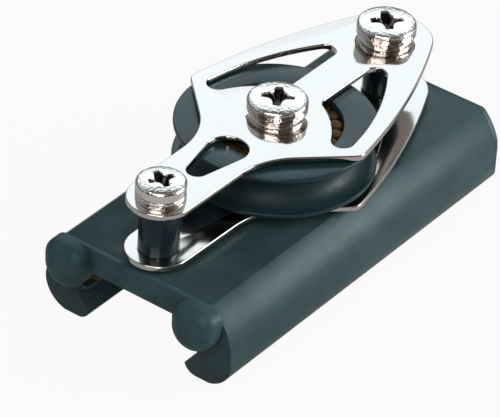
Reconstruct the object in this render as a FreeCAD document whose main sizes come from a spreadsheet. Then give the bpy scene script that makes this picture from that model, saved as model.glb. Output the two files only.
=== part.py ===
import FreeCAD, Part
import itertools
import math
import os
import Sketcher
from FreeCAD import Vector

# A track car with a sheave that lies flat between two cheek plates.
# X runs from the front (-) to the rear (+), Z is up, and Z = 0 is the underside of the foot lips.
# The origin lies under the centre screw. All sizes are in millimetres.

sizes = {
    # car body section, on one side of the middle plane
    "frontOverhang": 5.8,
    "rearOverhang": 9.6,
    "creaseHalf": 17.3,
    "shoulderRadius": 13.0,
    "widestHalf": 22.3,
    "widestHeight": 7.6,
    "bilgeRadius": 6.3,
    "footOuter": 17.4,
    "footInner": 14.2,
    "lipTipHalf": 11.6,
    "lipTipHeight": 2.0,
    "lipRadius": 2.9,
    "wallHalf": 14.4,
    "hookHeight": 1.7,
    "channelHalf": 12.0,
    "roofThickness": 5.5,
    # balls and their races
    "ballRadius": 2.0,
    "raceClearance": 0.05,
    "raceHalf": 12.8,
    "raceHeight": 10.0,
    "raceLand": 0.65,
    "ballGap": 0.06,
    # screws
    "screwPitch": 36.0,
    "bigScrewRadius": 3.0,
    "smallScrewRadius": 2.5,
    "bigHeadRadius": 6.0,
    "smallHeadRadius": 4.9,
    "bigHeadHeight": 3.1,
    "smallHeadHeight": 2.8,
    "bigCrown": 0.8,
    "smallCrown": 0.6,
    "crownBend": 0.55,
    "headRounding": 1.1,
    "recessHalf": 3.3,
    "recessWidth": 1.3,
    "recessDepth": 2.0,
    "threadClearance": 0.05,
    "screwTipGap": 0.3,
    "boltClearance": 0.2,
    "lockWasherHeight": 1.25,
    "lockWasherWidth": 2.2,
    "lockWasherSlit": 1.0,
    # cheek plates
    "plateThickness": 1.2,
    "noseRadius": 6.6,
    "waistHalf": 6.8,
    "waistReach": 20.9,
    "hollowRadius": 16.0,
    "flankAngle": 46.0,
    "sideArcX": -19.0,
    "sideArcY": -113.9,
    "wingRounding": 2.2,
    "tailRadius": 9.5,
    # plate windows
    "windowArcX": -6.5,
    "windowArcY": -39.2,
    "windowArcRadius": 57.0,
    "spineHalf": 4.05,
    "bossArcX": -11.0,
    "bossArcY": -6.4,
    "bossArcRadius": 22.4,
    "windowTipRounding": 2.2,
    "windowCornerRounding": 2.0,
    "dropSmallRadius": 2.1,
    "dropSmallReach": 24.9,
    "dropLargeRadius": 4.1,
    "dropLargeReach": 15.6,
    # what stands between the plates
    "footRingHeight": 0.8,
    "footRingRadius": 5.6,
    "spacerLength": 10.6,
    "spacerRadius": 4.0,
    # sheave and its bearing
    "sheaveRadius": 20.0,
    "sheaveThickness": 9.1,
    "sheaveTopGap": 0.3,
    "grooveDepth": 4.3,
    "grooveFlats": 5,
    "flangeThickness": 0.9,
    "boreRadius": 13.05,
    "rollerRadius": 1.5,
    "rollerCount": 23,
    "rollerSides": 12,
    "rollerClearance": 0.05,
    "rollerEndGap": 0.1,
    "hubFlangeRadius": 10.5,
    "hubFlangeThickness": 1.2,
    # end caps
    "capLength": 5.0,
    "rearCapLength": 1.2,
    "capRounding": 0.8,
    "bridgeThickness": 1.0,
    "lobeInner": 10.5,
    "lobeOuter": 20.1,
    "lobeBottom": 8.6,
    "lobeRounding": 2.0,
    "bridgeOverlap": 1.0,
    # how far a cutting sketch or a cut runs past what it cuts
    "cutMargin": 1.0,
    "cutReach": 80.0,
}

doc = FreeCAD.newDocument("GenoaCar")
sheet = doc.addObject("Spreadsheet::Sheet", "Sizes")
for row, (alias, value) in enumerate(sizes.items(), 1):
    sheet.set("A%d" % row, alias)
    sheet.set("B%d" % row, str(value))
    sheet.setAlias("B%d" % row, alias)
doc.recompute()

# Levels of the stack, from the body up, as expressions on the sheet.
raceReach = "Sizes.ballRadius + Sizes.raceClearance + Sizes.raceLand"
ledgeHeight = "Sizes.raceHeight - (" + raceReach + ")"
roofBottom = "Sizes.raceHeight + " + raceReach
bodyTop = roofBottom + " + Sizes.roofThickness"
lowerPlateBottom = bodyTop + " + Sizes.footRingHeight"
lowerPlateTop = lowerPlateBottom + " + Sizes.plateThickness"
upperPlateBottom = lowerPlateTop + " + Sizes.spacerLength"
upperPlateTop = upperPlateBottom + " + Sizes.plateThickness"
headBottom = upperPlateTop + " + Sizes.lockWasherHeight"
sheaveMiddle = upperPlateBottom + " - Sizes.sheaveTopGap - Sizes.sheaveThickness / 2"
hubRadius = "Sizes.boreRadius - 2 * Sizes.rollerRadius - 2 * Sizes.rollerClearance"
rollerCircle = "Sizes.boreRadius - Sizes.rollerRadius - Sizes.rollerClearance"

# Ends of the body along X, as far past the outer screws as the overhangs say
bodyFront = "-(Sizes.screwPitch + Sizes.frontOverhang)"
bodyRear = "Sizes.screwPitch + Sizes.rearOverhang"
bodyLength = "2 * Sizes.screwPitch + Sizes.frontOverhang + Sizes.rearOverhang"

stations = {"front": "-Sizes.screwPitch", "centre": "0", "rear": "Sizes.screwPitch"}


def size(expression):
    """The value of an expression on the sheet, as a plain number."""
    return float(sheet.evalExpression(expression))


def sizeOf(alias):
    return size("Sizes." + alias)


# Points of the outlines

def polar(centre, radius, degrees):
    angle = math.radians(degrees)
    return (centre[0] + radius * math.cos(angle), centre[1] + radius * math.sin(angle))


def bearing(start, end):
    return math.degrees(math.atan2(end[1] - start[1], end[0] - start[0]))


def arcMiddle(start, end, radius, side):
    """The middle point of the arc from start to end that bulges to the left (1) or right (-1)."""
    half = math.dist(start, end) / 2
    rise = radius - math.sqrt(radius ** 2 - half ** 2)
    middle = ((start[0] + end[0]) / 2, (start[1] + end[1]) / 2)
    return polar(middle, rise, bearing(start, end) + 90 * side)


def line(start, end):
    return (start, end)


def arc(start, end, radius, side):
    return (start, arcMiddle(start, end, radius, side), end)


def innerTangent(lowCentre, lowRadius, highCentre, highRadius):
    """Ends of the line that leaves the top of the low circle and meets the bottom of the high one."""
    reach = math.dist(lowCentre, highCentre)
    lean = math.degrees(math.asin((lowRadius + highRadius) / reach))
    heading = bearing(lowCentre, highCentre) - lean
    return (polar(lowCentre, lowRadius, heading + 90), polar(highCentre, highRadius, heading - 90))


def lineMeetsCircle(start, degrees, centre, radius):
    """Where a ray that starts inside a circle leaves it."""
    away = (start[0] - centre[0], start[1] - centre[1])
    step = polar((0, 0), 1, degrees)
    along = away[0] * step[0] + away[1] * step[1]
    beyond = radius ** 2 - away[0] ** 2 - away[1] ** 2
    return polar(start, math.sqrt(along ** 2 + beyond) - along, degrees)


def circlesMeet(first, firstRadius, second, secondRadius, side):
    """Where two circles cross, on the left (1) or right (-1) of the way from first to second."""
    reach = math.dist(first, second)
    along = (reach ** 2 + firstRadius ** 2 - secondRadius ** 2) / (2 * reach)
    turn = math.degrees(math.acos(along / firstRadius))
    return polar(first, firstRadius, bearing(first, second) + side * turn)


def mirrored(elements):
    """The elements followed by their mirror image across the first axis, as one closed way."""
    back = []
    for element in reversed(elements):
        back.append(tuple((point[0], -point[1]) for point in reversed(element)))
    return elements + back


def circleAtHeight(centre, radius, height):
    """The larger first coordinate at which a circle has the given second one."""
    return centre[0] + math.sqrt(radius ** 2 - (height - centre[1]) ** 2)


def swapped(elements):
    return [tuple((point[1], point[0]) for point in element) for element in elements]


# Sketches and features

def newBody(name):
    body = doc.addObject("PartDesign::Body", name)
    body.Label = name
    return body


def newSketch(body, role, height="0"):
    sketch = body.newObject("Sketcher::SketchObject", body.Name + "Sketch")
    support = [feature for feature in body.Origin.OriginFeatures if feature.Role == role][0]
    sketch.AttachmentSupport = [(support, "")]
    sketch.MapMode = "FlatFace"
    sketch.setExpression("AttachmentOffset.Base.z", height)
    return sketch


def drawLoop(sketch, elements):
    """Draws a closed loop of lines (two points) and arcs (three points) and joins their ends."""
    curves = []
    for element in elements:
        points = [Vector(point[0], point[1], 0) for point in element]
        if len(points) == 2:
            curves.append(Part.LineSegment(points[0], points[1]))
        else:
            curves.append(Part.Arc(points[0], points[1], points[2]))
    sketch.addGeometry(curves, False)
    sketch.detectMissingPointOnPointConstraints(1e-5)
    sketch.makeMissingPointOnPointCoincident(False)


def place(sketch, curve, point, axis, expression):
    """Ties one coordinate of a sketch point to an expression."""
    value = size(expression)
    if abs(value) < 1e-9:
        onAxis = -2 if axis == "DistanceX" else -1
        sketch.addConstraint(Sketcher.Constraint("PointOnObject", curve, point, onAxis))
        return
    number = sketch.addConstraint(Sketcher.Constraint(axis, curve, point, value))
    sketch.setExpression("Constraints[%d]" % number, expression)


def drawPolygon(sketch, corners):
    """Draws a closed polygon whose corners are pairs of expressions, each tied to the sheet."""
    points = [Vector(size(across), size(up), 0) for across, up in corners]
    count = len(points)
    for index in range(count):
        sketch.addGeometry(Part.LineSegment(points[index], points[(index + 1) % count]), False)
    for index in range(count):
        after = (index + 1) % count
        sketch.addConstraint(Sketcher.Constraint("Coincident", index, 2, after, 1))
    for index, (across, up) in enumerate(corners):
        place(sketch, index, 1, "DistanceX", across)
        place(sketch, index, 1, "DistanceY", up)


def drawCircle(sketch, across, up, radius):
    centre = Vector(size(across), size(up), 0)
    curve = sketch.addGeometry(Part.Circle(centre, Vector(0, 0, 1), size(radius)), False)
    place(sketch, curve, 3, "DistanceX", across)
    place(sketch, curve, 3, "DistanceY", up)
    number = sketch.addConstraint(Sketcher.Constraint("Radius", curve, size(radius)))
    sketch.setExpression("Constraints[%d]" % number, radius)


def pad(body, sketch, length, midplane=False, reverse=False):
    feature = body.newObject("PartDesign::Pad", body.Name + "Pad")
    feature.Profile = sketch
    feature.setExpression("Length", length)
    feature.Midplane = midplane
    feature.Reversed = reverse
    doc.recompute()
    return feature


def pocket(body, sketch, depth, midplane=False):
    """Cuts a sketch into the body and checks that it took something away."""
    before = body.Tip.Shape.Volume
    feature = body.newObject("PartDesign::Pocket", body.Name + "Pocket")
    feature.Profile = sketch
    feature.setExpression("Length", depth)
    feature.Midplane = midplane
    doc.recompute()
    if feature.Shape.Volume > before - 1e-6:
        raise RuntimeError(feature.Name + " cuts nothing")
    return feature


def revolve(body, corners):
    """Turns a polygon of radius and height expressions about the vertical axis."""
    sketch = newSketch(body, "XZ_Plane")
    drawPolygon(sketch, corners)
    feature = body.newObject("PartDesign::Revolution", body.Name + "Revolution")
    feature.Profile = sketch
    feature.ReferenceAxis = (sketch, ["V_Axis"])
    feature.Angle = 360
    doc.recompute()
    return feature


def fillet(body, radius, chosen):
    """Rounds the edges of the body that the function chosen accepts."""
    tip = body.Tip
    names = ["Edge%d" % number for number, edge in enumerate(tip.Shape.Edges, 1) if chosen(edge)]
    feature = body.newObject("PartDesign::Fillet", body.Name + "Fillet")
    feature.Base = (tip, names)
    feature.setExpression("Radius", radius)
    doc.recompute()
    return feature


def uprightAt(corners):
    """Chooses the upright edges that stand on the given corners."""
    def chosen(edge):
        box = edge.BoundBox
        if box.XLength > 1e-4 or box.YLength > 1e-4:
            return False
        return any(math.dist((box.XMin, box.YMin), corner) < 1e-3 for corner in corners)
    return chosen


# Car body and end caps

def outerHalf():
    """Outer outline of the section from the top middle to the tip of the foot lip."""
    top = size(bodyTop)
    crease = (sizeOf("creaseHalf"), top)
    widest = (sizeOf("widestHalf"), sizeOf("widestHeight"))
    footOut = (sizeOf("footOuter"), 0)
    footIn = (sizeOf("footInner"), 0)
    tip = (sizeOf("lipTipHalf"), sizeOf("lipTipHeight"))
    return [
        line((0, top), crease),
        arc(crease, widest, sizeOf("shoulderRadius"), 1),
        arc(widest, footOut, sizeOf("bilgeRadius"), 1),
        line(footOut, footIn),
        arc(footIn, tip, sizeOf("lipRadius"), 1),
    ]


def innerHalf(withRace):
    """Inner outline of the section from the lip's tip to the middle of the roof."""
    tip = (sizeOf("lipTipHalf"), sizeOf("lipTipHeight"))
    wall = (sizeOf("wallHalf"), size(ledgeHeight + " - Sizes.hookHeight"))
    ledge = (sizeOf("wallHalf"), size(ledgeHeight))
    half = sizeOf("channelHalf")
    roof = size(roofBottom)
    ledgeTip = (half, size(ledgeHeight))
    roofCorner = (half, roof)
    elements = [line(tip, wall), line(wall, ledge), line(ledge, ledgeTip)]
    if withRace:
        centre = (sizeOf("raceHalf"), sizeOf("raceHeight"))
        radius = size("Sizes.ballRadius + Sizes.raceClearance")
        rise = math.sqrt(radius ** 2 - (centre[0] - half) ** 2)
        lower = (half, centre[1] - rise)
        upper = (half, centre[1] + rise)
        elements.append(line(ledgeTip, lower))
        elements.append((lower, (centre[0] + radius, centre[1]), upper))
        elements.append(line(upper, roofCorner))
    else:
        elements.append(line(ledgeTip, roofCorner))
    elements.append(line(roofCorner, (0, roof)))
    return elements


def sectionLoop(withRace):
    half = swapped(outerHalf() + innerHalf(withRace))
    return swapped(mirrored(half))


def makeCarBody():
    body = newBody("car_body")
    section = newSketch(body, "YZ_Plane", bodyFront)
    drawLoop(section, sectionLoop(True))
    pad(body, section, bodyLength)
    holes = newSketch(body, "XY_Plane", bodyTop)
    for station, x in stations.items():
        drawCircle(holes, x, "0", screwRadius(station) + " + Sizes.threadClearance")
    pocket(body, holes, "Sizes.roofThickness + Sizes.cutMargin")
    return body


def cornerCut(corner, inX, inY, radius):
    """The sliver between a square corner and its rounding; inX and inY point into the piece."""
    across = (corner[0] + inX * radius, corner[1])
    along = (corner[0], corner[1] + inY * radius)
    centre = (across[0], along[1])
    reach = radius / math.sqrt(2)
    middle = (centre[0] - inX * reach, centre[1] - inY * reach)
    margin = sizeOf("cutMargin")
    beyond = (corner[0] - inX * margin, corner[1] - inY * margin)
    return [
        (across, middle, along),
        line(along, (beyond[0], along[1])),
        line((beyond[0], along[1]), beyond),
        line(beyond, (across[0], beyond[1])),
        line((across[0], beyond[1]), across),
    ]


def makeRearCap():
    body = newBody("rear_end_cap")
    section = newSketch(body, "YZ_Plane", bodyRear)
    drawLoop(section, sectionLoop(False))
    pad(body, section, "Sizes.rearCapLength")
    end = size(bodyRear + " + Sizes.rearCapLength")
    top = size(bodyTop)
    half = sizeOf("widestHalf")
    radius = sizeOf("capRounding")
    fromAbove = newSketch(body, "XY_Plane")
    for side in (-1, 1):
        drawLoop(fromAbove, cornerCut((end, side * half), -1, -side, radius))
    pocket(body, fromAbove, "Sizes.cutReach", midplane=True)
    fromSide = newSketch(body, "XZ_Plane")
    drawLoop(fromSide, cornerCut((end, top), -1, -1, radius))
    pocket(body, fromSide, "Sizes.cutReach", midplane=True)
    return body


def lobeSection(side):
    """Section of one lobe: a flat top over a half-round bottom."""
    top = size(bodyTop)
    low = sizeOf("lobeBottom")
    inner = sizeOf("lobeInner")
    outer = sizeOf("lobeOuter")
    radius = (outer - inner) / 2
    innerSide = (inner, low + radius)
    outerSide = (outer, low + radius)
    loop = [
        line((inner, top), (outer, top)),
        line((outer, top), outerSide),
        (outerSide, (inner + radius, low), innerSide),
        line(innerSide, (inner, top)),
    ]
    return [tuple((side * point[0], point[1]) for point in element) for element in loop]


def makeFrontCap():
    body = newBody("front_end_cap")
    bridge = newSketch(body, "YZ_Plane", bodyFront)
    half = "Sizes.lobeInner + Sizes.bridgeOverlap"
    minusHalf = "-(" + half + ")"
    drawPolygon(bridge, [(minusHalf, roofBottom), (half, roofBottom), (half, bodyTop),
                         (minusHalf, bodyTop)])
    pad(body, bridge, "Sizes.bridgeThickness", reverse=True)
    lobes = newSketch(body, "YZ_Plane", bodyFront)
    for side in (-1, 1):
        drawLoop(lobes, lobeSection(side))
    pad(body, lobes, "Sizes.capLength", reverse=True)
    front = size(bodyFront + " - Sizes.capLength")
    fillet(body, "Sizes.lobeRounding", lambda edge: edge.BoundBox.XMax < front + 1e-3)
    return body


# Plates

def plateOutline():
    """Half outline of a cheek plate, from the nose over the wing to the tail, and its wing corner."""
    pitch = sizeOf("screwPitch")
    nose = (-pitch, 0)
    tail = (pitch, 0)
    noseRadius = sizeOf("noseRadius")
    tailRadius = sizeOf("tailRadius")
    hollowRadius = sizeOf("hollowRadius")
    hollow = (-sizeOf("waistReach"), sizeOf("waistHalf") + hollowRadius)
    neckFront, neckRear = innerTangent(nose, noseRadius, hollow, hollowRadius)
    flankAngle = sizeOf("flankAngle")
    flank = polar(hollow, hollowRadius, flankAngle - 90)
    side = (sizeOf("sideArcX"), sizeOf("sideArcY"))
    sideRadius = math.dist(side, tail) + tailRadius
    wing = lineMeetsCircle(flank, flankAngle, side, sideRadius)
    tailStart = polar(tail, tailRadius, bearing(side, tail))
    noseTip = (-pitch - noseRadius, 0)
    tailTip = (pitch + tailRadius, 0)
    half = [
        arc(noseTip, neckFront, noseRadius, 1),
        line(neckFront, neckRear),
        arc(neckRear, flank, hollowRadius, -1),
        line(flank, wing),
        arc(wing, tailStart, sideRadius, 1),
        arc(tailStart, tailTip, tailRadius, 1),
    ]
    return half, wing


def windowLoop():
    """Three-sided window beside the spine, with its corners rounded."""
    side = (sizeOf("windowArcX"), sizeOf("windowArcY"))
    sideRadius = sizeOf("windowArcRadius")
    bossRadius = sizeOf("bossArcRadius")
    boss = (sizeOf("bossArcX"), sizeOf("bossArcY"))
    spine = sizeOf("spineHalf")
    tip = sizeOf("windowTipRounding")
    corner = sizeOf("windowCornerRounding")
    front = circlesMeet(boss, bossRadius + tip, side, sideRadius - tip, 1)
    rear = (circleAtHeight(side, sideRadius - tip, spine + tip), spine + tip)
    inner = (circleAtHeight(boss, bossRadius + corner, spine + corner), spine + corner)
    frontOut = polar(side, sideRadius, bearing(side, front))
    rearOut = polar(side, sideRadius, bearing(side, rear))
    rearIn = (rear[0], spine)
    innerSpine = (inner[0], spine)
    innerBoss = polar(boss, bossRadius, bearing(boss, inner))
    frontBoss = polar(boss, bossRadius, bearing(boss, front))
    return [
        arc(frontOut, rearOut, sideRadius, 1),
        (rearOut, polar(rear, tip, -15), rearIn),
        line(rearIn, innerSpine),
        arc(innerSpine, innerBoss, corner, 1),
        arc(innerBoss, frontBoss, bossRadius, -1),
        (frontBoss, polar(front, tip, 160), frontOut),
    ]


def dropLoop():
    """Drop-shaped window on the spine, from two circles and the lines that touch both."""
    small = (-sizeOf("dropSmallReach"), 0)
    large = (-sizeOf("dropLargeReach"), 0)
    smallRadius = sizeOf("dropSmallRadius")
    largeRadius = sizeOf("dropLargeRadius")
    lean = math.degrees(math.asin((largeRadius - smallRadius) / math.dist(small, large)))
    smallTop = polar(small, smallRadius, 90 + lean)
    largeTop = polar(large, largeRadius, 90 + lean)
    smallTip = (small[0] - smallRadius, 0)
    largeTip = (large[0] + largeRadius, 0)
    half = [
        arc(smallTip, smallTop, smallRadius, 1),
        line(smallTop, largeTop),
        (largeTop, polar(large, largeRadius, 45 + lean / 2), largeTip),
    ]
    return mirrored(half)


def makePlate(name, bottom):
    body = newBody(name)
    half, wing = plateOutline()
    outline = newSketch(body, "XY_Plane", bottom)
    drawLoop(outline, mirrored(half))
    pad(body, outline, "Sizes.plateThickness")
    top = bottom + " + Sizes.plateThickness"
    openings = newSketch(body, "XY_Plane", top)
    window = windowLoop()
    drawLoop(openings, window)
    drawLoop(openings, [tuple((point[0], -point[1]) for point in element) for element in window])
    drawLoop(openings, dropLoop())
    pocket(body, openings, "Sizes.plateThickness")
    holes = newSketch(body, "XY_Plane", top)
    for station, x in stations.items():
        drawCircle(holes, x, "0", screwRadius(station) + " + Sizes.boltClearance")
    pocket(body, holes, "Sizes.plateThickness")
    fillet(body, "Sizes.wingRounding", uprightAt([wing, (wing[0], -wing[1])]))
    return body


# Screws and rings

def screwRadius(station):
    return "Sizes.smallScrewRadius" if station == "front" else "Sizes.bigScrewRadius"


def headRadius(station):
    return "Sizes.smallHeadRadius" if station == "front" else "Sizes.bigHeadRadius"


def headHeight(station):
    return "Sizes.smallHeadHeight" if station == "front" else "Sizes.bigHeadHeight"


def crown(station):
    return "Sizes.smallCrown" if station == "front" else "Sizes.bigCrown"


def makeRing(name, station, outer, inner, bottom, height):
    body = newBody(name)
    top = bottom + " + " + height
    revolve(body, [(inner, bottom), (outer, bottom), (outer, top), (inner, top)])
    body.setExpression("Placement.Base.x", stations[station])
    return body


def makeScrew(station):
    body = newBody(station + "_screw")
    radius = screwRadius(station)
    head = headRadius(station)
    tip = roofBottom + " + Sizes.screwTipGap"
    headTop = headBottom + " + " + headHeight(station)
    rim = headTop + " - " + crown(station)
    rounding = " - Sizes.headRounding"
    shortened = rounding + " * (1 - sqrt(0.5))"
    bend = "(" + head + rounding + ") * Sizes.crownBend"
    bendDrop = " - " + crown(station) + " * Sizes.crownBend * Sizes.crownBend"
    revolve(body, [("0", tip), (radius, tip), (radius, headBottom), (head, headBottom),
                   (head, rim + rounding), (head + shortened, rim + shortened),
                   (head + rounding, rim), (bend, headTop + bendDrop), ("0", headTop)])
    recess = newSketch(body, "XY_Plane", headTop)
    reach = "Sizes.recessHalf * " + head + " / Sizes.bigHeadRadius"
    narrow = "Sizes.recessWidth / 2"
    minusReach = "-(" + reach + ")"
    minusNarrow = "-" + narrow
    drawPolygon(recess, [
        (reach, minusNarrow), (reach, narrow), (narrow, narrow), (narrow, reach),
        (minusNarrow, reach), (minusNarrow, narrow), (minusReach, narrow), (minusReach, minusNarrow),
        (minusNarrow, minusNarrow), (minusNarrow, minusReach), (narrow, minusReach),
        (narrow, minusNarrow),
    ])
    pocket(body, recess, "Sizes.recessDepth")
    body.setExpression("Placement.Base.x", stations[station])
    return body


def makeLockWasher(station):
    """A spring ring with one slanting slit."""
    body = newBody(station + "_lock_washer")
    inner = screwRadius(station) + " + Sizes.boltClearance"
    outer = inner + " + Sizes.lockWasherWidth"
    top = upperPlateTop + " + Sizes.lockWasherHeight"
    revolve(body, [(inner, upperPlateTop), (outer, upperPlateTop), (outer, top), (inner, top)])
    slit = newSketch(body, "XY_Plane", top)
    half = "Sizes.lockWasherSlit / 2"
    slant = "Sizes.lockWasherSlit"
    near = inner + " - Sizes.cutMargin"
    far = outer + " + Sizes.cutMargin"
    drawPolygon(slit, [("-" + half, near), (half, near), (half + " + " + slant, far),
                       ("-" + half + " + " + slant, far)])
    pocket(body, slit, "Sizes.lockWasherHeight")
    body.setExpression("Placement.Base.x", stations[station])
    return body


# Sheave and bearing

def grooveLoop(middle):
    """The rope groove's section: a round bottom, laid out in equal flats between the two rims."""
    radius = sizeOf("sheaveRadius")
    beyond = radius + sizeOf("cutMargin")
    depth = sizeOf("grooveDepth")
    flats = int(sizeOf("grooveFlats"))
    half = size("Sizes.sheaveThickness / 2 - Sizes.flangeThickness")
    bend = (half ** 2 + depth ** 2) / (2 * depth)
    centre = (radius - depth + bend, middle)
    start = bearing(centre, (radius, middle - half)) % 360
    sweep = 2 * (180 - start)
    corners = [polar(centre, bend, start + sweep * number / flats) for number in range(flats + 1)]
    corners.append((beyond, middle + half))
    corners.append((beyond, middle - half))
    return [line(corners[number - 1], corners[number]) for number in range(len(corners))]


def makeSheave():
    body = newBody("sheave")
    middle = sheaveMiddle
    top = middle + " + Sizes.sheaveThickness / 2"
    bottom = middle + " - Sizes.sheaveThickness / 2"
    revolve(body, [("Sizes.boreRadius", bottom), ("Sizes.sheaveRadius", bottom),
                   ("Sizes.sheaveRadius", top), ("Sizes.boreRadius", top)])
    groove = newSketch(body, "XZ_Plane")
    drawLoop(groove, grooveLoop(size(middle)))
    before = body.Tip.Shape.Volume
    cut = body.newObject("PartDesign::Groove", "sheaveGroove")
    cut.Profile = groove
    cut.ReferenceAxis = (groove, ["V_Axis"])
    cut.Angle = 360
    doc.recompute()
    if cut.Shape.Volume > before - 1:
        raise RuntimeError("the rope groove cuts nothing")
    return body


def makeHub():
    body = newBody("bearing_hub")
    inner = "Sizes.bigScrewRadius + Sizes.boltClearance"
    bottom = lowerPlateTop
    top = upperPlateBottom
    lowFlange = bottom + " + Sizes.hubFlangeThickness"
    highFlange = top + " - Sizes.hubFlangeThickness"
    flange = "Sizes.hubFlangeRadius"
    revolve(body, [
        (inner, bottom), (flange, bottom), (flange, lowFlange), (hubRadius, lowFlange),
        (hubRadius, highFlange), (flange, highFlange), (flange, top), (inner, top),
    ])
    return body


def makeRollers():
    """A full ring of rollers, side by side round the hub, each in flats."""
    bottom = lowerPlateTop + " + Sizes.hubFlangeThickness + Sizes.rollerEndGap"
    length = "Sizes.spacerLength - 2 * Sizes.hubFlangeThickness - 2 * Sizes.rollerEndGap"
    count = int(sizeOf("rollerCount"))
    rollers = []
    for number in range(count):
        roller = doc.addObject("Part::Prism", "roller%d" % number)
        turn = "(360 * %d / Sizes.rollerCount) * 1deg" % number
        roller.setExpression("Polygon", "Sizes.rollerSides")
        roller.setExpression("Circumradius", "Sizes.rollerRadius")
        roller.setExpression("Height", length)
        roller.setExpression("Placement.Base.x", "(" + rollerCircle + ") * cos(" + turn + ")")
        roller.setExpression("Placement.Base.y", "(" + rollerCircle + ") * sin(" + turn + ")")
        roller.setExpression("Placement.Base.z", bottom)
        rollers.append(roller)
    ring = doc.addObject("Part::Compound", "bearing_rollers")
    ring.Label = "bearing_rollers"
    ring.Links = rollers
    return ring


# Balls

def facetedBall():
    """A ball in twenty equal facets, the fewest that still roll."""
    radius = sizeOf("ballRadius")
    golden = (1 + math.sqrt(5)) / 2
    corners = []
    for short in (-1, 1):
        for long in (-golden, golden):
            corners.append(Vector(0, short, long))
            corners.append(Vector(long, 0, short))
            corners.append(Vector(short, long, 0))
    for corner in corners:
        corner.multiply(radius / corner.Length)
    edge = min(corners[0].distanceToPoint(other) for other in corners[1:])
    facets = []
    for first, second, third in itertools.combinations(corners, 3):
        sides = (first.distanceToPoint(second), second.distanceToPoint(third), third.distanceToPoint(first))
        if max(sides) > edge * 1.01:
            continue
        if (second - first).cross(third - first).dot(first) < 0:
            second, third = third, second
        facets.append(Part.Face(Part.makePolygon([first, second, third, first])))
    return Part.Solid(Part.Shell(facets))


def makeBalls(name, side):
    """One row of balls along the body, as many as its race holds."""
    pitch = size("2 * Sizes.ballRadius + Sizes.ballGap")
    count = int(size(bodyLength) / pitch)
    middle = size("(Sizes.rearOverhang - Sizes.frontOverhang) / 2")
    ball = facetedBall()
    row = []
    for number in range(count):
        copy = ball.copy()
        x = middle + (number - (count - 1) / 2) * pitch
        copy.translate(Vector(x, side * sizeOf("raceHalf"), sizeOf("raceHeight")))
        row.append(copy)
    balls = doc.addObject("Part::Feature", name)
    balls.Label = name
    balls.Shape = Part.makeCompound(row)
    return balls


nodes = [makeCarBody(), makeFrontCap(), makeRearCap()]
nodes.append(makeBalls("left_balls", 1))
nodes.append(makeBalls("right_balls", -1))
nodes.append(makePlate("lower_cheek_plate", lowerPlateBottom))
nodes.append(makePlate("upper_cheek_plate", upperPlateBottom))
nodes.append(makeSheave())
nodes.append(makeHub())
nodes.append(makeRollers())
for station in stations:
    bore = screwRadius(station) + " + Sizes.boltClearance"
    nodes.append(makeRing(station + "_foot_ring", station, "Sizes.footRingRadius", bore, bodyTop,
                          "Sizes.footRingHeight"))
    if station != "centre":
        nodes.append(makeRing(station + "_spacer", station, "Sizes.spacerRadius", bore, lowerPlateTop,
                              "Sizes.spacerLength"))
    nodes.append(makeLockWasher(station))
    nodes.append(makeScrew(station))

doc.recompute()

for item in doc.Objects:
    if "Invalid" in item.State or "Error" in item.State:
        raise RuntimeError(item.Name + " failed")
os.makedirs("parts", exist_ok=True)
for node in nodes:
    shape = node.Shape
    if shape.isNull() or not shape.isValid():
        raise RuntimeError(node.Label + " has no valid shape")
for node in nodes:
    node.Shape.exportStep("parts/" + node.Label + ".step")
    print(node.Label, len(node.Shape.Solids), round(node.Shape.Volume, 1))
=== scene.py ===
import math
import bpy
from mathutils import Matrix, Vector


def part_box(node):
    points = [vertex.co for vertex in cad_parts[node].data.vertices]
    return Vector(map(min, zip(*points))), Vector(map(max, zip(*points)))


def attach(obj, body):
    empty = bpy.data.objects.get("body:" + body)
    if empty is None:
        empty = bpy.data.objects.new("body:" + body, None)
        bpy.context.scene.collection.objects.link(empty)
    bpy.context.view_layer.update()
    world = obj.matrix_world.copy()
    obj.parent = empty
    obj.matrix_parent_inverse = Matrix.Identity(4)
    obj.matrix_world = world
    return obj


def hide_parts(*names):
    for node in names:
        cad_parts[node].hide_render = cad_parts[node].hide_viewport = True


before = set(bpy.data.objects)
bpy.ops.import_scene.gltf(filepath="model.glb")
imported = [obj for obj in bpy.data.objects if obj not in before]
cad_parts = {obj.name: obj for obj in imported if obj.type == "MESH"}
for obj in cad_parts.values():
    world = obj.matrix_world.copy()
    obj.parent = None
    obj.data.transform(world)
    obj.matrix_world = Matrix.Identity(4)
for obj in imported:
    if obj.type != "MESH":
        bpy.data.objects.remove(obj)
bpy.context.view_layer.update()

mm = 0.001  # lengths are in mm, and a bore, race, shank, head or circle is given by its radius


def colour(code):  # sRGB hex to linear
    channels = [int(code[i:i + 2], 16) / 255 for i in (1, 3, 5)]
    return [c / 12.92 if c <= 0.04045 else ((c + 0.055) / 1.055) ** 2.4 for c in channels] + [1]


# The camera stands where the photograph was taken from

camera = {
    "azimuth": -54.687,
    "elevation": 35.565,
    "roll": 3.482,
    "distance": 743.337,
    "aimRight": 4.489,
    "aimUp": 7.008,
    "carTop": 18.2,      # the camera was measured from this height
    "lens": 274.86,
    "sensor": 36,
    "nearest": 0.01,     # metres
    "farthest": 20,      # metres
}


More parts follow.
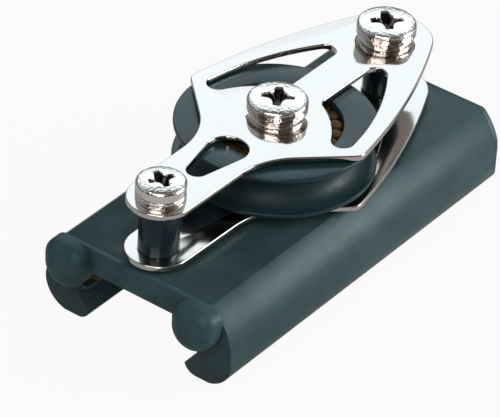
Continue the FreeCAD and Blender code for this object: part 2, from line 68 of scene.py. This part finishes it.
def makeCamera():
    turn = math.radians(camera["azimuth"])
    rise = math.radians(camera["elevation"])
    roll = math.radians(camera["roll"])
    back = Vector((math.sin(turn) * math.cos(rise), -math.cos(turn) * math.cos(rise), math.sin(rise)))
    right = Vector((math.cos(turn), math.sin(turn), 0))
    up = back.cross(right)
    across = right * math.cos(roll) + up * math.sin(roll)
    upward = up * math.cos(roll) - right * math.sin(roll)
    place = back * camera["distance"] - across * camera["aimRight"] - upward * camera["aimUp"]
    place.z += camera["carTop"]
    lensData = bpy.data.cameras.new("camera")
    lensData.lens = camera["lens"]
    lensData.sensor_width = camera["sensor"]
    lensData.clip_start = camera["nearest"]
    lensData.clip_end = camera["farthest"]
    eye = bpy.data.objects.new("camera", lensData)
    bpy.context.scene.collection.objects.link(eye)
    facing = Matrix((across, upward, back)).transposed().to_4x4()
    eye.matrix_world = Matrix.Translation(place * mm) @ facing
    bpy.context.scene.camera = eye
    print("camera placed")


# Small helpers for modelling

mergeWithin = 0.001       # points nearer than this are one, in mm
flatWithin = 0.5          # faces that meet at less than this are one, in degrees


def clear():
    bpy.ops.object.select_all(action="DESELECT")


def only(piece):
    clear()
    piece.select_set(True)
    bpy.context.view_layer.objects.active = piece


def editAll():
    bpy.ops.object.mode_set(mode="EDIT")
    bpy.ops.mesh.select_all(action="SELECT")


def editDone():
    bpy.ops.object.mode_set(mode="OBJECT")


def selectEdges(piece, chosen):  # selects the edges that chosen(end, end) accepts, in edit mode
    only(piece)
    for part in (piece.data.vertices, piece.data.edges, piece.data.polygons):
        for one in part:
            one.select = False
    places = [vertex.co.copy() for vertex in piece.data.vertices]
    for edge in piece.data.edges:
        edge.select = chosen(places[edge.vertices[0]], places[edge.vertices[1]])
    bpy.ops.object.mode_set(mode="EDIT")
    bpy.ops.mesh.select_mode(type="EDGE")


def settle(piece):  # the place goes into the mesh
    only(piece)
    bpy.ops.object.transform_apply(location=True, rotation=True, scale=True)


def modify(piece, kind, **settings):
    only(piece)
    modifier = piece.modifiers.new(kind.lower(), kind)
    for key, value in settings.items():
        setattr(modifier, key, value)
    bpy.ops.object.modifier_apply(modifier=modifier.name)


def roundEdges(piece, width, segments=3, above=30):
    modify(piece, "BEVEL", width=width * mm, segments=segments, limit_method="ANGLE",
           angle_limit=math.radians(above), miter_outer="MITER_ARC")
    bpy.ops.object.shade_smooth_by_angle(angle=math.radians(above))


def cadCopy(node, name):  # a merged copy of a CAD node, its flat faces made whole
    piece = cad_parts[node].copy()
    piece.data = piece.data.copy()
    piece.name = name
    piece.data.name = name
    piece.parent = None
    for key in list(piece.keys()):
        del piece[key]
    bpy.context.scene.collection.objects.link(piece)
    only(piece)
    editAll()
    bpy.ops.mesh.remove_doubles(threshold=mergeWithin * mm)
    bpy.ops.mesh.dissolve_limited(angle_limit=math.radians(flatWithin))
    editDone()
    return piece


def push(step):  # extrudes what is selected
    move = [part * mm for part in step]
    bpy.ops.mesh.extrude_region_move(TRANSFORM_OT_translate={"value": move})


def tracePath(name, points):  # edges from point to point, left in edit mode and selected
    clear()
    bpy.ops.mesh.primitive_plane_add(size=mm, location=[part * mm for part in points[0]])
    piece = bpy.context.object
    piece.name = name
    piece.data.name = name
    bpy.ops.object.mode_set(mode="EDIT")
    bpy.ops.mesh.select_mode(type="VERT")
    bpy.ops.mesh.merge(type="CENTER")
    for before, after in zip(points, points[1:]):
        push([b - a for a, b in zip(before, after)])
    bpy.ops.mesh.select_all(action="SELECT")
    return piece


def closeUp(piece):  # ends the edit with all faces outwards and the place in the mesh
    bpy.ops.mesh.select_all(action="SELECT")
    bpy.ops.mesh.normals_make_consistent(inside=False)
    editDone()
    settle(piece)


def traceLoop(name, points):  # a flat face through the points, left in edit mode and selected
    piece = tracePath(name, points)
    bpy.ops.mesh.edge_face_add()
    return piece


def traceAndSpin(name, profile, x=0, steps=96):  # profile points are (radius, height)
    piece = tracePath(name, [(x + radius, 0, height) for radius, height in profile])
    bpy.ops.mesh.spin(steps=steps, angle=math.tau, center=(x * mm, 0, 0), axis=(0, 0, 1))
    bpy.ops.mesh.select_all(action="SELECT")
    bpy.ops.mesh.remove_doubles(threshold=mergeWithin * mm)
    closeUp(piece)
    return piece


def arcPoints(centre, radius, start, end, count):
    points = []
    for i in range(count + 1):
        angle = math.radians(start + (end - start) * i / count)
        points.append((centre[0] + radius * math.cos(angle), centre[1] + radius * math.sin(angle)))
    return points


def joinedCopies(first, places, name):  # one piece of many copies, each with its own mesh
    copies = []
    for place in places:
        only(first)
        bpy.ops.object.duplicate()
        copies.append(bpy.context.object)
        copies[-1].location = [part * mm for part in place]
    clear()
    for one in copies:
        one.select_set(True)
    bpy.context.view_layer.objects.active = copies[0]
    bpy.ops.object.join()
    piece = bpy.context.object
    piece.name = name
    piece.data.name = name
    settle(piece)
    return piece


def finished(piece, material, body, node):
    piece.data.materials.clear()
    piece.data.materials.append(material)
    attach(piece, body)
    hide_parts(node)


# Materials

noiseSpread = (0.3, 0.7)   # most of a noise lies between these
tintSpread = (0.35, 0.65)
ringsPerUnit = 3.18        # rings of a wave texture whose scale is 1


def addNode(tree, kind, settings=None, links=None):
    node = tree.nodes.new(kind)
    for key, value in (settings or {}).items():
        if isinstance(key, int) or key in node.inputs:
            node.inputs[key].default_value = value
        else:
            setattr(node, key, value)
    for key, source in (links or {}).items():
        tree.links.new(source, node.inputs[key])
    return node


def mottle(tree, shader, place, size, low, high):  # a soft noise in the roughness
    noise = addNode(tree, "ShaderNodeTexNoise", {"Scale": 1 / (size * mm), "Detail": 3}, {"Vector": place})
    least, most = noiseSpread
    ranged = addNode(tree, "ShaderNodeMapRange",
                     {"From Min": least, "From Max": most, "To Min": low, "To Max": high},
                     {"Value": noise.outputs["Fac"]})
    tree.links.new(ranged.outputs["Result"], shader.inputs["Roughness"])


def tint(tree, shader, place, size, dark, light):  # a slight change of colour over the surface
    noise = addNode(tree, "ShaderNodeTexNoise", {"Scale": 1 / (size * mm), "Detail": 4}, {"Vector": place})
    ramp = addNode(tree, "ShaderNodeValToRGB", None, {"Fac": noise.outputs["Fac"]})
    for end, position, code in zip(ramp.color_ramp.elements, tintSpread, (dark, light)):
        end.position = position
        end.color = colour(code)
    tree.links.new(ramp.outputs["Color"], shader.inputs["Base Color"])


def grain(tree, shader, place, size, depth, stretch):  # fine relief
    shaped = addNode(tree, "ShaderNodeMapping", {"Scale": stretch}, {"Vector": place})
    noise = addNode(tree, "ShaderNodeTexNoise", {"Scale": 1 / (size * mm), "Detail": 2},
                    {"Vector": shaped.outputs["Vector"]})
    bump = addNode(tree, "ShaderNodeBump", {"Strength": 1, "Distance": depth * mm},
                   {"Height": noise.outputs["Fac"]})
    tree.links.new(bump.outputs["Normal"], shader.inputs["Normal"])


def turningMarks(tree, shader, place, x, pitch, depth):  # rings round an upright axis at x
    centred = addNode(tree, "ShaderNodeMapping", {"Location": (-x * mm, 0, 0)}, {"Vector": place})
    waves = addNode(tree, "ShaderNodeTexWave",
                    {"wave_type": "RINGS", "rings_direction": "Z", "Scale": 1 / (pitch * mm * ringsPerUnit),
                     "Distortion": 0.4, "Detail": 2},
                    {"Vector": centred.outputs["Vector"]})
    bump = addNode(tree, "ShaderNodeBump", {"Strength": 1, "Distance": depth * mm},
                   {"Height": waves.outputs["Fac"]})
    tree.links.new(bump.outputs["Normal"], shader.inputs["Normal"])


def paintedRecessShade(tree, shader, place, x, screw):  # painted shade: the recess is coloured dark up to its edges, where shadow falls
    split = addNode(tree, "ShaderNodeSeparateXYZ", None, {0: place})
    across = addNode(tree, "ShaderNodeMath", {"operation": "SUBTRACT", 1: x * mm}, {0: split.outputs["X"]})
    flat = addNode(tree, "ShaderNodeCombineXYZ", None, {0: across.outputs[0], 1: split.outputs["Y"]})
    reach = addNode(tree, "ShaderNodeVectorMath", {"operation": "LENGTH"}, {0: flat.outputs[0]})
    square = addNode(tree, "ShaderNodeMath", {"operation": "POWER", 1: 2.0}, {0: reach.outputs["Value"]})
    top = screws["seat"] + screw["rim"] + screw["crown"]
    dome = screw["head"] ** 2 / (2 * screw["crown"])
    darkFrom = (top - screws["darkFrom"]) * mm
    darkTo = (top - screws["darkTo"]) * mm
    darkReach = (screw["recessHalf"] + screws["darkMargin"]) * mm
    fall = addNode(tree, "ShaderNodeMath", {"operation": "MULTIPLY", 1: 1 / (2 * dome * mm)},
                   {0: square.outputs[0]})
    level = addNode(tree, "ShaderNodeMath", {"operation": "ADD"},
                    {0: fall.outputs[0], 1: split.outputs["Z"]})
    deep = addNode(tree, "ShaderNodeMapRange", {"From Min": darkFrom, "From Max": darkTo},
                   {"Value": level.outputs[0]})
    inside = addNode(tree, "ShaderNodeMath", {"operation": "LESS_THAN", 1: darkReach},
                     {0: reach.outputs["Value"]})
    share = addNode(tree, "ShaderNodeMath", {"operation": "MULTIPLY"},
                    {0: deep.outputs[0], 1: inside.outputs[0]})
    ramp = addNode(tree, "ShaderNodeValToRGB", None, {"Fac": share.outputs[0]})
    ramp.color_ramp.elements[0].color = colour(steel["colour"])
    ramp.color_ramp.elements[1].color = colour(steel["recessShade"])
    tree.links.new(ramp.outputs["Color"], shader.inputs["Base Color"])


def newMaterial(name, look):  # a look holds the finish's colours, gloss and patterns
    material = bpy.data.materials.new(name)
    material.use_nodes = True
    tree = material.node_tree
    shader = tree.nodes["Principled BSDF"]
    place = addNode(tree, "ShaderNodeTexCoord").outputs["Object"]
    low, high = look["roughness"]
    shader.inputs["Base Color"].default_value = colour(look["colour"])
    shader.inputs["Metallic"].default_value = look.get("metallic", 0.0)
    shader.inputs["Roughness"].default_value = (low + high) / 2
    if "gloss" in look:
        shader.inputs["Specular IOR Level"].default_value = look["gloss"]
        shader.inputs["Specular Tint"].default_value = colour(look["sheen"])
    if "tints" in look:
        tint(tree, shader, place, look["tintSize"], *look["tints"])
    if "patchSize" in look:
        mottle(tree, shader, place, look["patchSize"], low, high)
    if "grainSize" in look:
        grain(tree, shader, place, look["grainSize"], look["grainDepth"], look.get("stretch", (1, 1, 1)))
    if "markPitch" in look:
        turningMarks(tree, shader, place, look["axis"], look["markPitch"], look["markDepth"])
    # painted shade in a screw's recess
    if "screw" in look:
        paintedRecessShade(tree, shader, place, look["axis"], look["screw"])
    return material


oxideSheen = "#b8cbca"  # what an anodised skin reflects

turnedSkin = {
    "gloss": 0.38,
    "sheen": oxideSheen,
    "spread": 0.04,       # how far the roughness strays
    "patchSize": 2,
    "markPitch": 0.3,     # drawn coarser than the real ones, to show
    "markDepth": 0.004,
}


def anodisedTurning(name, code, roughness, x=0):  # hard anodised aluminium over fine lathe marks
    ends = (roughness - turnedSkin["spread"], roughness + turnedSkin["spread"])
    return newMaterial(name, dict(turnedSkin, colour=code, roughness=ends, axis=x))


steel = {  # cold-formed stainless steel: small dents under a bright skin
    "colour": "#d2ccc7",
    # the colour of the painted shade in the screw recesses
    "recessShade": "#2c2725",
    "metallic": 1.0,
    "roughness": (0.08, 0.26),
    "patchSize": 0.6,
    "grainSize": 0.7,     # the dents
    "grainDepth": 0.11,
}

amber = {  # a bearing polymer, ground: dark amber brown with a faint gloss
    "colour": "#402b0b",
    "tints": ("#332206", "#513a11"),
    "tintSize": 1.5,
    "gloss": 0.1,
    "sheen": "#d9a860",
    "roughness": (0.3, 0.3),
    "grainSize": 0.15,
    "grainDepth": 0.003,
}


# Car body and caps

extrusion = {  # hard anodised aluminium: a dark teal oxide, satin, with faint draw lines
    "edgeRound": 0.25,
    "colour": "#29393c",
    "tints": ("#28373b", "#2e4043"),
    "tintSize": 9,
    "gloss": 0.18,
    "sheen": oxideSheen,
    "roughness": (0.34, 0.42),
    "patchSize": 1.6,
    "grainSize": 0.35,
    "grainDepth": 0.006,
    "stretch": (0.04, 1, 1),  # the draw lines run along x
}


def makeBody():
    piece = cadCopy("car_body", "bodyExtrusion")
    roundEdges(piece, extrusion["edgeRound"])
    skin = newMaterial("hardAnodisedExtrusion", extrusion)
    finished(piece, skin, "car", "car_body")
    print("car body made")


lobes = {
    "back": -41.8,        # where the body ends, along x
    "depth": 5.0,
    "inner": 10.5,
    "outer": 20.1,
    "bottom": 8.6,
    "top": 18.2,
    "shoulder": 3.0,      # rounding of the two upper corners
    "nose": 2.9,          # rounding towards the front
    "bridgeDepth": 1.0,
    "bridgeBottom": 12.7,
    "bridgeOverlap": 0.3,  # how far the bridge runs into each lobe's straight side
    "shoulderSteps": 8,
    "bottomSteps": 24,
    "noseSteps": 9,
    "edgeRound": 0.2,
    "edgeAbove": 50,      # degrees
}

rearCap = {
    "edgeRound": 0.3,
}

nylon = {  # glass-filled nylon, moulded: dark teal, nearly black, with a soft sheen and a faint grain
    "colour": "#2b4043",
    "tints": ("#25383a", "#30464a"),
    "tintSize": 5,
    "gloss": 0.25,
    "sheen": "#a9c8cc",
    "roughness": (0.4, 0.5),
    "patchSize": 1.2,
    "grainSize": 0.25,
    "grainDepth": 0.006,
}


def makeBridge():
    depth = lobes["bridgeDepth"]
    half = lobes["inner"] + lobes["shoulder"] + lobes["bridgeOverlap"]
    height = lobes["top"] - lobes["bridgeBottom"]
    middle = (lobes["back"] - depth / 2, 0, lobes["bridgeBottom"] + height / 2)
    clear()
    bpy.ops.mesh.primitive_cube_add(size=1, location=[part * mm for part in middle])
    bridge = bpy.context.object
    bridge.scale = (depth * mm, 2 * half * mm, height * mm)
    settle(bridge)
    return bridge


def makeFrontCap():
    inner = lobes["inner"]
    outer = lobes["outer"]
    shoulder = lobes["shoulder"]
    half = (outer - inner) / 2
    high = lobes["top"] - shoulder
    outline = arcPoints((outer - shoulder, high), shoulder, 90, 0, lobes["shoulderSteps"])
    outline += arcPoints((inner + half, lobes["bottom"] + half), half, 0, -180, lobes["bottomSteps"])
    outline += arcPoints((inner + shoulder, high), shoulder, 180, 90, lobes["shoulderSteps"])
    piece = traceLoop("frontEndCap", [(lobes["back"], y, z) for y, z in outline])
    push((-lobes["depth"], 0, 0))
    closeUp(piece)
    front = (lobes["back"] - lobes["depth"] + mergeWithin) * mm
    selectEdges(piece, lambda a, b: max(a.x, b.x) < front)
    bpy.ops.mesh.bevel(offset=lobes["nose"] * mm, segments=lobes["noseSteps"])
    editDone()
    modify(piece, "MIRROR", use_axis=(False, True, False))
    bridge = makeBridge()
    modify(piece, "BOOLEAN", object=bridge, operation="UNION", solver="EXACT")
    bpy.data.objects.remove(bridge)
    roundEdges(piece, lobes["edgeRound"], above=lobes["edgeAbove"])
    return piece


def makeCaps():
    skin = newMaterial("mouldedNylon", nylon)
    finished(makeFrontCap(), skin, "car", "front_end_cap")
    rear = cadCopy("rear_end_cap", "rearEndCap")
    roundEdges(rear, rearCap["edgeRound"])
    finished(rear, skin, "car", "rear_end_cap")
    print("end caps made")


# Cheek plates

plates = {  # stainless sheet, mirror polished: buffing leaves a faint haze
    "haze": {"lower": 0.15, "upper": 0.09},
    "hazeSpread": 0.03,
    "edgeRound": 0.24,
    "roundSteps": 4,
    "edgeAbove": 40,      # degrees
    "colour": "#bdb6b1",
    "metallic": 1.0,
    "patchSize": 3.5,
    "grainSize": 2.5,     # the polish is slightly wavy
    "grainDepth": 0.004,
}


def makePlates():
    for level, haze in plates["haze"].items():
        look = dict(plates, roughness=(haze - plates["hazeSpread"], haze + plates["hazeSpread"]))
        polish = newMaterial(level + "PolishedSteel", look)
        node = level + "_cheek_plate"
        plate = cadCopy(node, level + "CheekPlate")
        roundEdges(plate, plates["edgeRound"], plates["roundSteps"], plates["edgeAbove"])
        finished(plate, polish, "car", node)
    print("cheek plates made")


# Sheave and bearing

sheave = {
    "radius": 20.0,
    "thickness": 9.1,
    "middle": 25.95,      # height of its middle plane
    "grooveDepth": 4.3,
    "flange": 0.9,
    "bore": 13.05,
    "edgeRound": 0.22,
    "grooveSteps": 28,
    "turnSteps": 144,
    "blastedShadedFrom": 0.5,   # the blasted faces, coloured darker as painted shade, lie this far outside the bore
    "blastedShadedTo": 0.1,     # and this far inside the rims
    "colour": "#16282c",
    "roughness": 0.25,
}

groove = {  # bead blasted before anodising, for grip on the sheet: matt, and nearly black; its colour, darker than the sheave's, is painted shade in the groove
    "colour": "#142326",
    "gloss": 0.3,
    "sheen": oxideSheen,
    "roughness": (0.4, 0.5),
    "patchSize": 1.2,
    "grainSize": 0.2,     # the blasting grit
    "grainDepth": 0.02,
}


def makeSheave():
    half = sheave["thickness"] / 2
    lip = half - sheave["flange"]
    depth = sheave["grooveDepth"]
    bend = (lip ** 2 + depth ** 2) / (2 * depth)
    centre = (sheave["radius"] - depth + bend, sheave["middle"])
    start = math.degrees(math.atan2(-lip, depth - bend)) % 360
    low = sheave["middle"] - half
    high = sheave["middle"] + half
    profile = [(sheave["bore"], low), (sheave["radius"], low)]
    profile += arcPoints(centre, bend, start, 360 - start, sheave["grooveSteps"])
    profile += [(sheave["radius"], high), (sheave["bore"], high), (sheave["bore"], low)]
    piece = traceAndSpin("grooveSheave", profile, steps=sheave["turnSteps"])
    roundEdges(piece, sheave["edgeRound"])
    skin = anodisedTurning("anodisedSheave", sheave["colour"], sheave["roughness"])
    finished(piece, skin, "sheave", "sheave")
    # the groove faces get the blasted material, whose darker colour is painted shade
    piece.data.materials.append(newMaterial("blastedShadedGroove", groove))
    nearest = sheave["bore"] + sheave["blastedShadedFrom"]
    farthest = sheave["radius"] - sheave["blastedShadedTo"]
    for face in piece.data.polygons:
        reach = math.hypot(face.center.x, face.center.y) / mm
        rise = abs(face.center.z / mm - sheave["middle"])
        if nearest < reach < farthest and rise < lip:
            face.material_index = 1
    print("sheave made")


rollers = {
    "count": 23,
    "radius": 1.5,
    "circle": 11.5,
    "low": 21.5,
    "high": 29.5,
    "sides": 24,
    "edgeRound": 0.3,
}


def makeRollers():
    circle = rollers["circle"]
    length = rollers["high"] - rollers["low"]
    height = rollers["low"] + length / 2
    clear()
    bpy.ops.mesh.primitive_cylinder_add(
        vertices=rollers["sides"], radius=rollers["radius"] * mm, depth=length * mm)
    roller = bpy.context.object
    roundEdges(roller, rollers["edgeRound"])
    turns = [math.tau * i / rollers["count"] for i in range(rollers["count"])]
    places = [(circle * math.cos(turn), circle * math.sin(turn), height) for turn in turns]
    piece = joinedCopies(roller, places, "bearingRollers")
    bpy.data.objects.remove(roller)
    skin = newMaterial("amberPolymer", amber)
    finished(piece, skin, "roller_ring", "bearing_rollers")
    print("rollers made")


hub = {
    "bore": 3.2,
    "race": 9.95,
    "flange": 1.2,
    "edgeRound": 0.15,
    "colour": "#1d3236",
    "roughness": 0.27,
}


def makeHub():
    low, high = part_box("bearing_hub")
    outer = high.x / mm
    bottom = low.z / mm
    top = high.z / mm
    bore = hub["bore"]
    race = hub["race"]
    raceLow = bottom + hub["flange"]
    raceHigh = top - hub["flange"]
    profile = [(bore, bottom), (outer, bottom), (outer, raceLow), (race, raceLow),
               (race, raceHigh), (outer, raceHigh), (outer, top), (bore, top), (bore, bottom)]
    piece = traceAndSpin("bearingHub", profile)
    roundEdges(piece, hub["edgeRound"])
    skin = anodisedTurning("anodisedHub", hub["colour"], hub["roughness"])
    finished(piece, skin, "car", "bearing_hub")
    print("hub made")


# Balls

balls = {
    "count": 21,
    "middle": 1.9,        # of a row, along x
    "radius": 2.0,
    "pitch": 4.06,
    "side": 12.8,
    "height": 10.0,
    "fineness": 3,
}


def makeBalls():
    skin = newMaterial("amberBalls", amber)
    clear()
    bpy.ops.mesh.primitive_ico_sphere_add(subdivisions=balls["fineness"], radius=balls["radius"] * mm)
    ball = bpy.context.object
    bpy.ops.object.shade_smooth()
    start = balls["middle"] - (balls["count"] - 1) / 2 * balls["pitch"]
    along = [start + i * balls["pitch"] for i in range(balls["count"])]
    for name, side in (("left", balls["side"]), ("right", -balls["side"])):
        piece = joinedCopies(ball, [(x, side, balls["height"]) for x in along], name + "BallRow")
        finished(piece, skin, "car", name + "_balls")
    bpy.data.objects.remove(ball)
    print("balls made")


# Rings, spacers, washers and screws

stations = {"front": -36.0, "centre": 0.0, "rear": 36.0}

rings = {
    "bore": {"front": 2.7, "centre": 3.2, "rear": 3.2},
    "steps": 72,
    "washerRound": 0.12,
    "footRound": 0.1,
    "spacerRound": 0.2,
    "spacerColour": "#121f24",
    "spacerRoughness": 0.2,
}

acetal = {  # acetal, moulded: plain black, slightly waxy
    "colour": "#11191c",
    "roughness": (0.36, 0.46),
    "patchSize": 0.8,
    "grainSize": 0.2,
    "grainDepth": 0.004,
}


def nodeRing(station, kind, name, material, edge):  # a plain ring at the CAD ring's place
    node = station + "_" + kind
    low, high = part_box(node)
    x = (low.x + high.x) / 2 / mm
    outer = (high.x - low.x) / 2 / mm
    inner = rings["bore"][station]
    bottom = low.z / mm
    top = high.z / mm
    profile = [(inner, bottom), (outer, bottom), (outer, top), (inner, top), (inner, bottom)]
    piece = traceAndSpin(station + name, profile, x, rings["steps"])
    roundEdges(piece, edge)
    finished(piece, material, "car", node)


screws = {
    "seat": 33.25,        # height of the heads' undersides
    "front": {"head": 4.9, "rim": 2.35, "crown": 0.45, "shank": 2.5, "recessHalf": 2.9, "turn": 27},
    "centre": {"head": 6.0, "rim": 2.6, "crown": 0.5, "shank": 3.0, "recessHalf": 3.5, "turn": 58},
    "rear": {"head": 6.0, "rim": 2.6, "crown": 0.5, "shank": 3.0, "recessHalf": 3.6, "turn": 45},
    "rimRound": 0.75,
    "rimTurn": 72,        # degrees from the side to where the rim meets the dome
    "rimSteps": 7,
    "domeSteps": 8,
    "footRound": 0.3,
    "tipChamfer": 0.4,
    "smoothBelow": 30,    # degrees
    "edgeRound": 0.07,
    "recessArm": [(1, -0.23), (1, 0.23), (0.66, 0.27), (0.46, 0.35), (0.35, 0.46), (0.27, 0.66)],
    "recessDepth": 1.9,
    "recessTaper": 0.35,
    "above": 0.4,         # how far the cutter stands above the head
    "darkFrom": 0.1,      # the painted shade in the recess starts at this depth under the dome
    "darkTo": 0.45,
    "darkMargin": 0.2,
}


def crossCutter(x, top, screw):  # four arms with hollow flanks, tapering downwards
    reach = screw["recessHalf"]
    arm = [(reach * along, reach * across) for along, across in screws["recessArm"]]
    points = []
    for quarter in range(4):
        turn = math.radians(90 * quarter - screw["turn"])
        for along, across in arm:
            points.append((x + along * math.cos(turn) - across * math.sin(turn),
                           along * math.sin(turn) + across * math.cos(turn), top + screws["above"]))
    taper = screws["recessTaper"]
    cutter = traceLoop("recessCutter", points)
    push((0, 0, -screws["above"]))
    push((0, 0, -screws["recessDepth"]))
    bpy.ops.transform.resize(value=(taper, taper, 1), center_override=(x * mm, 0, 0))
    closeUp(cutter)
    return cutter


def screwProfile(screw, tip):
    seat = screws["seat"]
    foot = screws["footRound"]
    chamfer = screws["tipChamfer"]
    bend = screws["rimRound"]
    turn = screws["rimTurn"]
    head = screw["head"]
    shank = screw["shank"]
    crown = screw["crown"]
    rimTop = seat + screw["rim"]
    rimCentre = (head - bend, rimTop - bend * math.sin(math.radians(turn)))
    rimArc = arcPoints(rimCentre, bend, 0, turn, screws["rimSteps"])
    edge = rimArc[-1][0]
    dome = (edge ** 2 + crown ** 2) / (2 * crown)
    slope = math.degrees(math.asin(edge / dome))
    domeArc = arcPoints((0, rimTop + crown - dome), dome, 90 - slope, 90, screws["domeSteps"])
    below = [(0, tip), (shank - chamfer, tip), (shank, tip + chamfer), (shank, seat),
             (head - foot, seat), (head, seat + foot)]
    return below + rimArc + domeArc[1:]


def makeScrews():
    for station, x in stations.items():
        node = station + "_screw"
        screw = screws[station]
        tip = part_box(node)[0].z / mm
        piece = traceAndSpin(station + "PanScrew", screwProfile(screw, tip), x)
        bpy.ops.object.shade_smooth_by_angle(angle=math.radians(screws["smoothBelow"]))
        cutter = crossCutter(x, screws["seat"] + screw["rim"] + screw["crown"], screw)
        modify(piece, "BOOLEAN", object=cutter, operation="DIFFERENCE", solver="EXACT")
        bpy.data.objects.remove(cutter)
        roundEdges(piece, screws["edgeRound"], 2)
        bright = newMaterial("brightScrew" + station.capitalize(), dict(steel, screw=screw, axis=x))
        finished(piece, bright, "car", node)
    print("screws made")


def makeRings():
    bright = newMaterial("brightWasher", steel)
    black = newMaterial("mouldedAcetal", acetal)
    for station, x in stations.items():
        node = station + "_lock_washer"
        piece = cadCopy(node, station + "LockWasher")
        roundEdges(piece, rings["washerRound"])
        finished(piece, bright, "car", node)
        nodeRing(station, "foot_ring", "FootRing", black, rings["footRound"])
        if station != "centre":
            skin = anodisedTurning("anodisedSpacer" + station.capitalize(),
                                   rings["spacerColour"], rings["spacerRoughness"], x)
            nodeRing(station, "spacer", "Spacer", skin, rings["spacerRound"])
    print("washers, foot rings and spacers made")


# Studio

studio = {
    "floorSize": 4000,
    "floorDrop": 0.02,    # the floor lies this far under the object
    "floorColour": "#969696",
    "floorRoughness": 0.9,
    "floorGloss": 0.1,
    "floorGlow": 0.94,    # how much of the floor's white the object's shadow leaves
    "floorMirrored": 0.32,  # the same for the floor that polished metal shows
    "glow": "#ffffff",    # what the camera sees of the floor and the room
    "sky": "#e6f5fd",     # the room behind the object
    "room": "#5e5147",    # the darker, warm grey rest of the room
    "level": 0.85,
    "nearBand": (0.0, 0.5, 1.0),    # towards the camera: from, to, and how far sky turns into room
    "lowBand": (0.5, 0.2, 1.0),     # the same downwards
    "highBand": (0.7, 0.88, 0.85),  # and overhead
    "aim": (0, 0, 20),    # the lamps look here
    "sideLight": {"place": (400, -550, 200), "size": 400, "watts": 6.5, "tint": "#ffffff"},
    "backLight": {"place": (490, 350, 430), "size": 500, "watts": 1.07, "tint": "#e6f5fd"},
    "fillLight": {"place": (-380, -120, 480), "size": 400, "watts": 2.0, "tint": "#ffffff"},
    "frontLight": {"place": (-460, -330, 200), "size": 120, "watts": 0.7, "tint": "#ffffff"},
}


def areaLight(name, lamp):
    light = bpy.data.lights.new(name, "AREA")
    light.energy = lamp["watts"]
    light.size = lamp["size"] * mm
    light.color = colour(lamp["tint"])[:3]
    holder = bpy.data.objects.new(name, light)
    bpy.context.scene.collection.objects.link(holder)
    holder.location = Vector(lamp["place"]) * mm
    way = Vector(studio["aim"]) - Vector(lamp["place"])
    holder.rotation_euler = way.to_track_quat("-Z", "Y").to_euler()


def makeFloor():
    clear()
    height = -studio["floorDrop"]
    bpy.ops.mesh.primitive_plane_add(size=studio["floorSize"] * mm, location=(0, 0, height * mm))
    floor = bpy.context.object
    floor.name = "floor"
    settle(floor)
    material = bpy.data.materials.new("paleFloor")
    material.use_nodes = True
    tree = material.node_tree
    shader = tree.nodes["Principled BSDF"]
    shader.inputs["Base Color"].default_value = colour(studio["floorColour"])
    shader.inputs["Roughness"].default_value = studio["floorRoughness"]
    shader.inputs["Specular IOR Level"].default_value = studio["floorGloss"]
    glow = addNode(tree, "ShaderNodeEmission", {"Color": colour(studio["glow"]), "Strength": 1})
    rays = addNode(tree, "ShaderNodeLightPath")
    seen = addNode(tree, "ShaderNodeMath", {"operation": "MULTIPLY", 1: studio["floorGlow"]},
                   {0: rays.outputs["Is Camera Ray"]})
    mirrored = addNode(tree, "ShaderNodeMath", {"operation": "MULTIPLY", 1: studio["floorMirrored"]},
                       {0: rays.outputs["Is Glossy Ray"]})
    share = addNode(tree, "ShaderNodeMath", {"operation": "MAXIMUM"},
                    {0: seen.outputs[0], 1: mirrored.outputs[0]})
    mixed = addNode(tree, "ShaderNodeMixShader", None,
                    {0: share.outputs[0], 1: shader.outputs[0], 2: glow.outputs[0]})
    tree.links.new(mixed.outputs[0], tree.nodes["Material Output"].inputs["Surface"])
    floor.data.materials.append(material)


def makeRoom():  # pale behind the object, warm grey round the camera, overhead and low down
    world = bpy.data.worlds.new("studioRoom")
    world.use_nodes = True
    bpy.context.scene.world = world
    tree = world.node_tree
    back = tree.nodes["Background"]
    back.inputs["Strength"].default_value = studio["level"]
    way = addNode(tree, "ShaderNodeTexCoord").outputs["Generated"]
    turn = math.radians(camera["azimuth"])
    towards = (math.sin(turn), -math.cos(turn), 0)
    side = addNode(tree, "ShaderNodeVectorMath", {"operation": "DOT_PRODUCT", 1: towards}, {0: way})
    height = addNode(tree, "ShaderNodeSeparateXYZ", None, {0: way}).outputs["Z"]
    shares = []
    for value, name in ((side.outputs["Value"], "nearBand"), (height, "lowBand"), (height, "highBand")):
        start, end, most = studio[name]
        turned = addNode(tree, "ShaderNodeMapRange",
                         {"interpolation_type": "SMOOTHSTEP", "From Min": start, "From Max": end,
                          "To Max": most},
                         {"Value": value})
        shares.append(turned.outputs["Result"])
    larger = addNode(tree, "ShaderNodeMath", {"operation": "MAXIMUM"}, {0: shares[0], 1: shares[1]})
    largest = addNode(tree, "ShaderNodeMath", {"operation": "MAXIMUM"},
                      {0: larger.outputs[0], 1: shares[2]})
    ramp = addNode(tree, "ShaderNodeValToRGB", None, {"Fac": largest.outputs[0]})
    ramp.color_ramp.elements[0].color = colour(studio["sky"])
    ramp.color_ramp.elements[1].color = colour(studio["room"])
    rays = addNode(tree, "ShaderNodeLightPath")
    mixed = addNode(tree, "ShaderNodeMix", {"data_type": "RGBA", 7: colour(studio["glow"])},
                    {0: rays.outputs["Is Camera Ray"], 6: ramp.outputs["Color"]})
    tree.links.new(mixed.outputs[2], back.inputs["Color"])  # a Mix node's colours: 6 and 7 in, 2 out


def makeStudio():
    makeFloor()
    makeRoom()
    for name in ("sideLight", "backLight", "fillLight", "frontLight"):
        areaLight(name, studio[name])
    bpy.context.scene.view_settings.view_transform = "Standard"
    print("studio made")


makeCamera()
makeBody()
makeCaps()
makePlates()
makeSheave()
makeHub()
makeRollers()
makeBalls()
makeScrews()
makeRings()
makeStudio()
